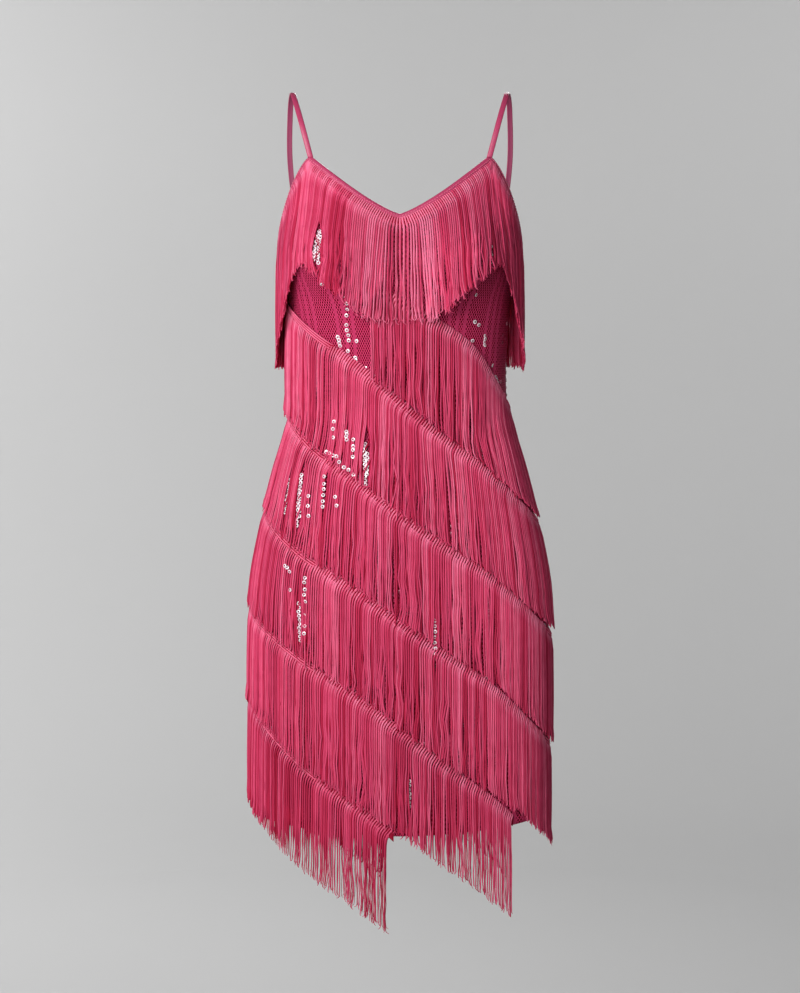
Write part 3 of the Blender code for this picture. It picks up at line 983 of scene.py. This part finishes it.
class FringeDressSettings(bpy.types.PropertyGroup):
    """Sizes and colours of the dress"""
    strand_length: bpy.props.FloatProperty(
        name="Strand Length", description="Length of one fringe strand from the top of its tape",
        default=0.124, unit="LENGTH")
    strand_pitch: bpy.props.FloatProperty(
        name="Rib Pitch",
        description="Distance between the ribs along a tape, each with its strands",
        default=0.0031, unit="LENGTH", precision=5)
    yarn_radius: bpy.props.FloatProperty(
        name="Yarn Radius", description="Radius of one strand",
        default=0.00110, unit="LENGTH", precision=5)
    sequin_radius: bpy.props.FloatProperty(
        name="Sequin Radius", description="Middle radius of a ring sequin",
        default=0.00170, unit="LENGTH", precision=5)
    column_gap: bpy.props.FloatProperty(
        name="Sequin Column Gap", description="Turn between two columns of sequins",
        default=math.radians(5.2), unit="ROTATION", subtype="ANGLE")
    sequin_step: bpy.props.FloatProperty(
        name="Sequin Step", description="Distance between sequins down a column",
        default=0.0088, unit="LENGTH", precision=5)
    net_size: bpy.props.FloatProperty(
        name="Net Size", description="Distance between the threads of the mesh cloth",
        default=0.0041, unit="LENGTH", precision=5)
    band_width: bpy.props.FloatProperty(
        name="Band Width", description="Distance between the plain bands of the mesh cloth",
        default=0.0131, unit="LENGTH", precision=4)
    yarn_color: bpy.props.FloatVectorProperty(
        name="Yarn Colour", description="Colour of the fringe", subtype="COLOR",
        default=(0.72, 0.074, 0.176))
    cloth_color: bpy.props.FloatVectorProperty(
        name="Cloth Colour", description="Colour of the mesh cloth", subtype="COLOR",
        default=(0.62, 0.046, 0.145))
    satin_color: bpy.props.FloatVectorProperty(
        name="Satin Colour", description="Colour of the bound edges and ribbons", subtype="COLOR",
        default=(0.60, 0.062, 0.165))
    # darker than the satin: painted shade on the ribbons' inner side
    shaded_wrong_side_color: bpy.props.FloatVectorProperty(
        name="Lining Colour", description="Colour of the wrong side of the ribbons",
        subtype="COLOR", default=(0.36, 0.050, 0.13))
    thread_color: bpy.props.FloatVectorProperty(
        name="Thread Colour", description="Colour of the stitches", subtype="COLOR",
        default=(0.85, 0.18, 0.30))
    sequin_color: bpy.props.FloatVectorProperty(
        name="Sequin Colour", description="Colour of the foil rings", subtype="COLOR",
        default=(0.92, 0.70, 0.80))
    paper_color: bpy.props.FloatVectorProperty(
        name="Backdrop Colour", description="Colour of the floor and backdrop", subtype="COLOR",
        default=(0.52, 0.52, 0.52))


def current():
    """Settings of the open scene."""
    return bpy.context.scene.fringe_dress


# ---------------------------------------------------------------- operators

class DRESS_OT_cloth(bpy.types.Operator):
    """Make the front and back of the body in mesh cloth"""
    bl_idname = "dress.cloth"
    bl_label = "Body Cloth"

    def execute(self, context):
        for side, first in (("front", -90), ("back", 90)):
            columns, marks = [], []
            for angle in spread(first + SEAM_ANGLE, first + 180 - SEAM_ANGLE, 2.5):
                top, hem = top_edge(angle), hem_edge(angle)
                levels = [hem + (top - hem) * k / CLOTH_ROWS for k in range(CLOTH_ROWS + 1)]
                levels[1:3] = hem + HEM_FOLD, hem + HEM_FOLD + 0.0012
                columns.append([on_body(angle, level, 0.0006 if k < 2 else 0.0)
                                for k, level in enumerate(levels)])
                marks.append([(math.radians(angle) * CLOTH_RADIUS, level) for level in levels])
            piece = cloth_piece("cloth_" + side, columns, marks, 0.0009, -1,
                                known_material("sequin_mesh"))
            finished(piece, [side + "_panel"])
        return {"FINISHED"}


class DRESS_OT_edges(bpy.types.Operator):
    """Make the bound top edges and the row of stitches along them"""
    bl_idname = "dress.edges"
    bl_label = "Bound Edges"

    def execute(self, context):
        satin, thread = known_material("edge_satin"), known_material("stitch_thread")
        tree = stitch_tree()
        reach = 90 - SEAM_ANGLE * 2
        for side, middle in (("front", 0), ("back", 180)):
            columns, seam = [], []
            for angle in spread(middle - reach, middle + reach, 1.25):
                edge, stretch = top_edge(angle), steepness(top_edge, angle)
                columns.append([at(angle, edge + up * stretch,
                                   radius(angle, edge + min(up, 0) * stretch) + out)
                                for up, out, _ in BINDING_PROFILE])
                seam.append(at(angle, edge - 0.0008 * stretch, radius(angle, edge) + 0.0024))
            marks = [[(gone, mark) for _, _, mark in BINDING_PROFILE]
                     for gone in distances([column[2] for column in columns])]
            piece = cloth_piece("edge_" + side, columns, marks, 0.0008, 1, satin)
            finished(piece, ["binding_" + side])
            path = path_mesh("stitch_path", seam, [(k - 1, k) for k in range(1, len(seam))])
            stitches = grown("edge_stitches_" + side, path, tree, {
                "Stitch Length": 0.0034, "Thread Radius": 0.00065, "Material": thread})
            finished(stitches)
        return {"FINISHED"}


class DRESS_OT_ribbons(bpy.types.Operator):
    """Make the two narrow shoulder ribbons"""
    bl_idname = "dress.ribbons"
    bl_label = "Shoulder Ribbons"

    def execute(self, context):
        satin, shaded_wrong_side = known_material("edge_satin"), known_material("ribbon_shaded_wrong_side")
        ends = [on_body(angle, top_edge(angle) - 0.0012, -WALL / 2)
                for angle in (APEX_ANGLE, STRAP_BACK_ANGLE)]
        path = (ends[0], *STRAP_PATH, ends[1])
        last = len(path) - 1

        def place(t):
            return [curve(range(last + 1), [row[k] for row in path], t) for k in range(3)]

        spine = []
        for step in range(RIBBON_STEPS + 1):
            t = last * step / RIBBON_STEPS
            behind, ahead = place(max(t - 0.05, 0)), place(min(t + 0.05, last))
            run, climb = ahead[1] - behind[1], ahead[2] - behind[2]
            size = math.hypot(run, climb)
            spine.append((*place(t), run / size, climb / size))
        for name, side in (("left", -1), ("right", 1)):
            columns, marks = [], []
            for across, crown, mark in RIBBON_PROFILE[::side]:
                column = [(side * (x + across), y - crown * climb, level + crown * run)
                          for x, y, level, run, climb in spine]
                columns.append(column)
                marks.append([(gone, mark) for gone in distances(column)])
            piece = cloth_piece("ribbon_" + name, columns, marks, 0.0012, 0, satin, shaded_wrong_side)
            finished(piece, ["strap_" + name])
        return {"FINISHED"}


class DRESS_OT_tapes(bpy.types.Operator):
    """Make the stitched head of every length of fringe"""
    bl_idname = "dress.tapes"
    bl_label = "Fringe Tapes"

    def execute(self, context):
        for trim in trims():
            columns = []
            for angle in spread(trim.first, trim.last, 1.25):
                top, stretch = trim.level_at(angle), steepness(trim.level_at, angle)
                columns.append([on_body(angle, top - depth * stretch, trim.out + out)
                                for depth, out, _ in TAPE_PROFILE])
            marks = [[(gone, mark) for _, _, mark in TAPE_PROFILE]
                     for gone in distances([column[-1] for column in columns])]
            piece = cloth_piece("tape_" + trim.name, columns, marks, 0.0010, 1,
                                known_material("fringe_head"))
            finished(piece)
        return {"FINISHED"}


class DRESS_OT_head_cords(bpy.types.Operator):
    """Lay three cords along each tape where it turns round the sides"""
    bl_idname = "dress.head_cords"
    bl_label = "Tape Cords"

    def execute(self, context):
        yarn, tree = known_material("fringe_yarn"), strand_tree()
        for trim in trims():
            if "bust" in trim.name:
                continue
            points, edges, thickness = [], [], []
            for depth in (0.0009, 0.0036, 0.0063):
                joined = False
                for angle in spread(trim.first, trim.last, 1.5):
                    share = corded(angle)
                    if share < 0.02:
                        joined = False
                        continue
                    level = trim.level_at(angle) - depth * steepness(trim.level_at, angle)
                    points.append(on_body(angle, level, trim.out + 0.0002 + 0.0014 * share))
                    thickness.append(0.75 * share + 0.1)
                    if joined:
                        edges.append((len(points) - 2, len(points) - 1))
                    joined = True
            mesh = path_mesh("tape_cord_paths", points, edges, thickness=thickness,
                             shade=[0.86] * len(points), along=[0.0] * len(points))
            piece = grown("tape_cords_" + trim.name, mesh, tree, {
                "Yarn Radius": current().yarn_radius, "Sides": 6, "Material": yarn})
            finished(piece)
        return {"FINISHED"}


class DRESS_OT_strands(bpy.types.Operator):
    """Hang the strands from every tape"""
    bl_idname = "dress.strands"
    bl_label = "Fringe Strands"

    def execute(self, context):
        yarn, tree = known_material("fringe_yarn"), strand_tree()
        for number, trim in enumerate(trims()):
            paths = strands_mesh(trim, current(), STRAND_SEED + number)
            piece = grown("strands_" + trim.name, paths, tree, {
                "Yarn Radius": current().yarn_radius, "Sides": 4, "Material": yarn})
            finished(piece, ["fringe_" + trim.name])
        return {"FINISHED"}


def columns_of_sequins(first, chance, settings):
    """Angle, level, tint and distance out of the sequins in columns down one side's cloth."""
    places = []
    for angle in spread(first + 2, first + 178, math.degrees(settings.column_gap)):
        level, low = on_binding(angle, -0.0018) - 0.014, hem_edge(angle) + 0.010
        while level > low:
            level -= chance.uniform(0.020, 0.090)
            for _ in range(chance.choice((2, 3, 4, 6, 8))):
                level -= settings.sequin_step
                if level > low and (level < BARE_LOW or abs(folded(angle)) > BARE_SIDE):
                    places.append((angle + chance.uniform(-0.25, 0.25), level,
                                   chance.uniform(0.0, 0.45), 0.0006))
    return places


def glinting_sequins(chance):
    """Angle, level, painted glint and distance out of the sequins that show from the front, painted
    near white as glints.
    """
    places = []
    for runs, out, stray in ((BARE_RUNS, 0.0009, 0), (PARTED_RUNS, 0.0042, 0),
                             (LOOSE_RUNS, 0.0070, 0.2)):
        for angle, level, low_angle, low, step in runs:
            shares = spread(0, 1, min(step / (level - low), 1)) if level > low else [0]
            for share in shares:
                places.append((
                    angle + (low_angle - angle) * share + chance.uniform(-0.3, 0.3),
                    level + (low - level) * share + chance.uniform(-stray, stray) * step,
                    chance.uniform(0.6, 1.0), out))
    return places


class DRESS_OT_sequins(bpy.types.Operator):
    """Sew columns of ring sequins on the mesh cloth"""
    bl_idname = "dress.sequins"
    bl_label = "Sequins"

    def execute(self, context):
        settings, tree = current(), sequin_tree()
        for name, first, seed in (("sequins_front", -90, 5), ("sequins_back", 90, 6)):
            chance = random.Random(seed)
            places = columns_of_sequins(first, chance, settings)
            if first < 0:
                places += glinting_sequins(chance)
            points, facing = [], []
            for angle, level, _, out in places:
                point = on_body(angle, level, out)
                right, up = on_body(angle + 1, level, out), on_body(angle, level + 0.003, out)
                a = [right[k] - point[k] for k in range(3)]
                b = [up[k] - point[k] for k in range(3)]
                points.append(point)
                facing += [a[1] * b[2] - a[2] * b[1], a[2] * b[0] - a[0] * b[2],
                           a[0] * b[1] - a[1] * b[0]]
            mesh = path_mesh(name, points, [], facing=facing, tint=[place[2] for place in places])
            piece = grown(name, mesh, tree, {
                "Ring Radius": settings.sequin_radius, "Ring Band": 0.00062, "Cup": 0.00022,
                "Tilt": 0.32, "Seed": seed, "Material": known_material("sequin_foil")})
            finished(piece)
        return {"FINISHED"}


class DRESS_OT_sheets(bpy.types.Operator):
    """Finish without doing anything"""
    bl_idname = "dress.sheets"
    bl_label = "State Cloth Cuts"

    def execute(self, context):
        return {"FINISHED"}


FLOOR, FLOOR_REACH, CORNER, ROOM_SIDES = -1.75, 3.0, 1.6, 72
SENSOR = 36
LENS = 2024 * SENSOR / 993            # gives the perspective of the photo
CAMERA_DROP = 5.18        # degrees that the camera looks down
LIGHTS = (
    # name, place, aim, width, height, power
    ("key_softbox", (-0.90, -1.46, 0.16), (0, 0, -0.46), 0.8, 0.9, 22.5),
    ("left_fill", (-1.6, -0.1, -0.4), (0, 0, -0.55), 0.8, 1.2, 3.2),
    ("front_fill", (-0.42, -2.3, 0.12), (0, 0, -0.62), 0.8, 0.6, 20.5),
    ("back_fill", (0.3, 2.0, 0.6), (0, 0, -0.45), 0.9, 1.0, 18),
    ("backdrop_left", (-2.2, 1.9, 0.8), (-0.9, 4.6, -0.9), 1.6, 1.6, 84),
    ("backdrop_right", (2.2, 1.9, 1.1), (0.7, 4.6, -0.4), 1.6, 1.6, 40),
)


def soft_light(name, place, aim, width, height, power):
    """White oblong lamp that looks at its aim."""
    lamp = bpy.data.lights.new(name, "AREA")
    lamp.shape, lamp.size, lamp.size_y = "RECTANGLE", width, height
    lamp.energy = power
    holder = bpy.data.objects.new(name, lamp)
    bpy.context.scene.collection.objects.link(holder)
    holder.location = place
    x, y, z = (b - a for a, b in zip(place, aim))
    holder.rotation_euler = (math.atan2(math.hypot(x, y), -z), 0, math.atan2(-x, y))


class DRESS_OT_stage(bpy.types.Operator):
    """Set the pale floor and backdrop, the studio lights and the camera"""
    bl_idname = "dress.stage"
    bl_label = "Stage"

    def execute(self, context):
        scene = context.scene
        profile = [(FLOOR_REACH, FLOOR)]
        profile += [(FLOOR_REACH + CORNER * math.sin(a), FLOOR + CORNER * (1 - math.cos(a)))
                    for a in spread(0.15, 1.57, 0.15)]
        profile += [(4.6, 1.2), (4.6, 3.2)]
        turns = [-math.tau * k / ROOM_SIDES for k in range(ROOM_SIDES)]
        mesh = grid_mesh("backdrop", [[(r * math.sin(a), r * math.cos(a), z)
                                       for r, z in reversed(profile)] for a in turns], closed=True)
        room = bmesh.new()
        room.from_mesh(mesh)
        room.verts.ensure_lookup_table()
        tall = len(profile)
        room.faces.new([room.verts[k * tall + tall - 1] for k in range(ROOM_SIDES)])
        bmesh.ops.recalc_face_normals(room, faces=room.faces)
        bmesh.ops.reverse_faces(room, faces=room.faces)
        room.to_mesh(mesh)
        room.free()
        mesh.materials.append(known_material("backdrop_paper"))
        add_piece("backdrop", mesh)

        for light in LIGHTS:
            soft_light(*light)
        world = bpy.data.worlds.new("studio_air")
        world.use_nodes = True
        air = world.node_tree.nodes["Background"]
        air.inputs["Color"].default_value = (1, 1, 1, 1)
        air.inputs["Strength"].default_value = 0.02
        scene.world = world

        lens = bpy.data.cameras.new("camera")
        lens.sensor_fit, lens.sensor_width = "AUTO", SENSOR
        lens.lens = LENS
        camera = bpy.data.objects.new("camera", lens)
        scene.collection.objects.link(camera)
        camera.location = (0, -2.4, -0.2551)
        camera.rotation_euler = (math.radians(90 - CAMERA_DROP), 0, 0)
        scene.camera = camera
        scene.view_settings.view_transform = "Standard"
        return {"FINISHED"}


OPERATORS = (DRESS_OT_cloth, DRESS_OT_edges, DRESS_OT_ribbons, DRESS_OT_tapes,
             DRESS_OT_head_cords, DRESS_OT_strands, DRESS_OT_sequins, DRESS_OT_sheets,
             DRESS_OT_stage)


class DRESS_PT_pieces(bpy.types.Panel):
    """Pieces of the dress"""
    bl_idname = "DRESS_PT_pieces"
    bl_label = "Fringe Dance Dress"
    bl_space_type = "VIEW_3D"
    bl_region_type = "UI"
    bl_category = "Dress"

    def draw(self, context):
        settings = context.scene.fringe_dress
        for name in FringeDressSettings.__annotations__:
            self.layout.prop(settings, name)
        for operator in OPERATORS:
            self.layout.operator(operator.bl_idname)


CLASSES = (FringeDressSettings, *OPERATORS, DRESS_PT_pieces)


def register():
    for item in CLASSES:
        bpy.utils.register_class(item)
    bpy.types.Scene.fringe_dress = bpy.props.PointerProperty(type=FringeDressSettings)


def unregister():
    del bpy.types.Scene.fringe_dress
    for item in reversed(CLASSES):
        bpy.utils.unregister_class(item)


def main():
    register()
    bpy.ops.dress.cloth()
    bpy.ops.dress.edges()
    bpy.ops.dress.ribbons()
    bpy.ops.dress.tapes()
    bpy.ops.dress.head_cords()
    bpy.ops.dress.strands()
    bpy.ops.dress.sequins()
    bpy.ops.dress.sheets()
    bpy.ops.dress.stage()


if __name__ == "__main__":
    main()
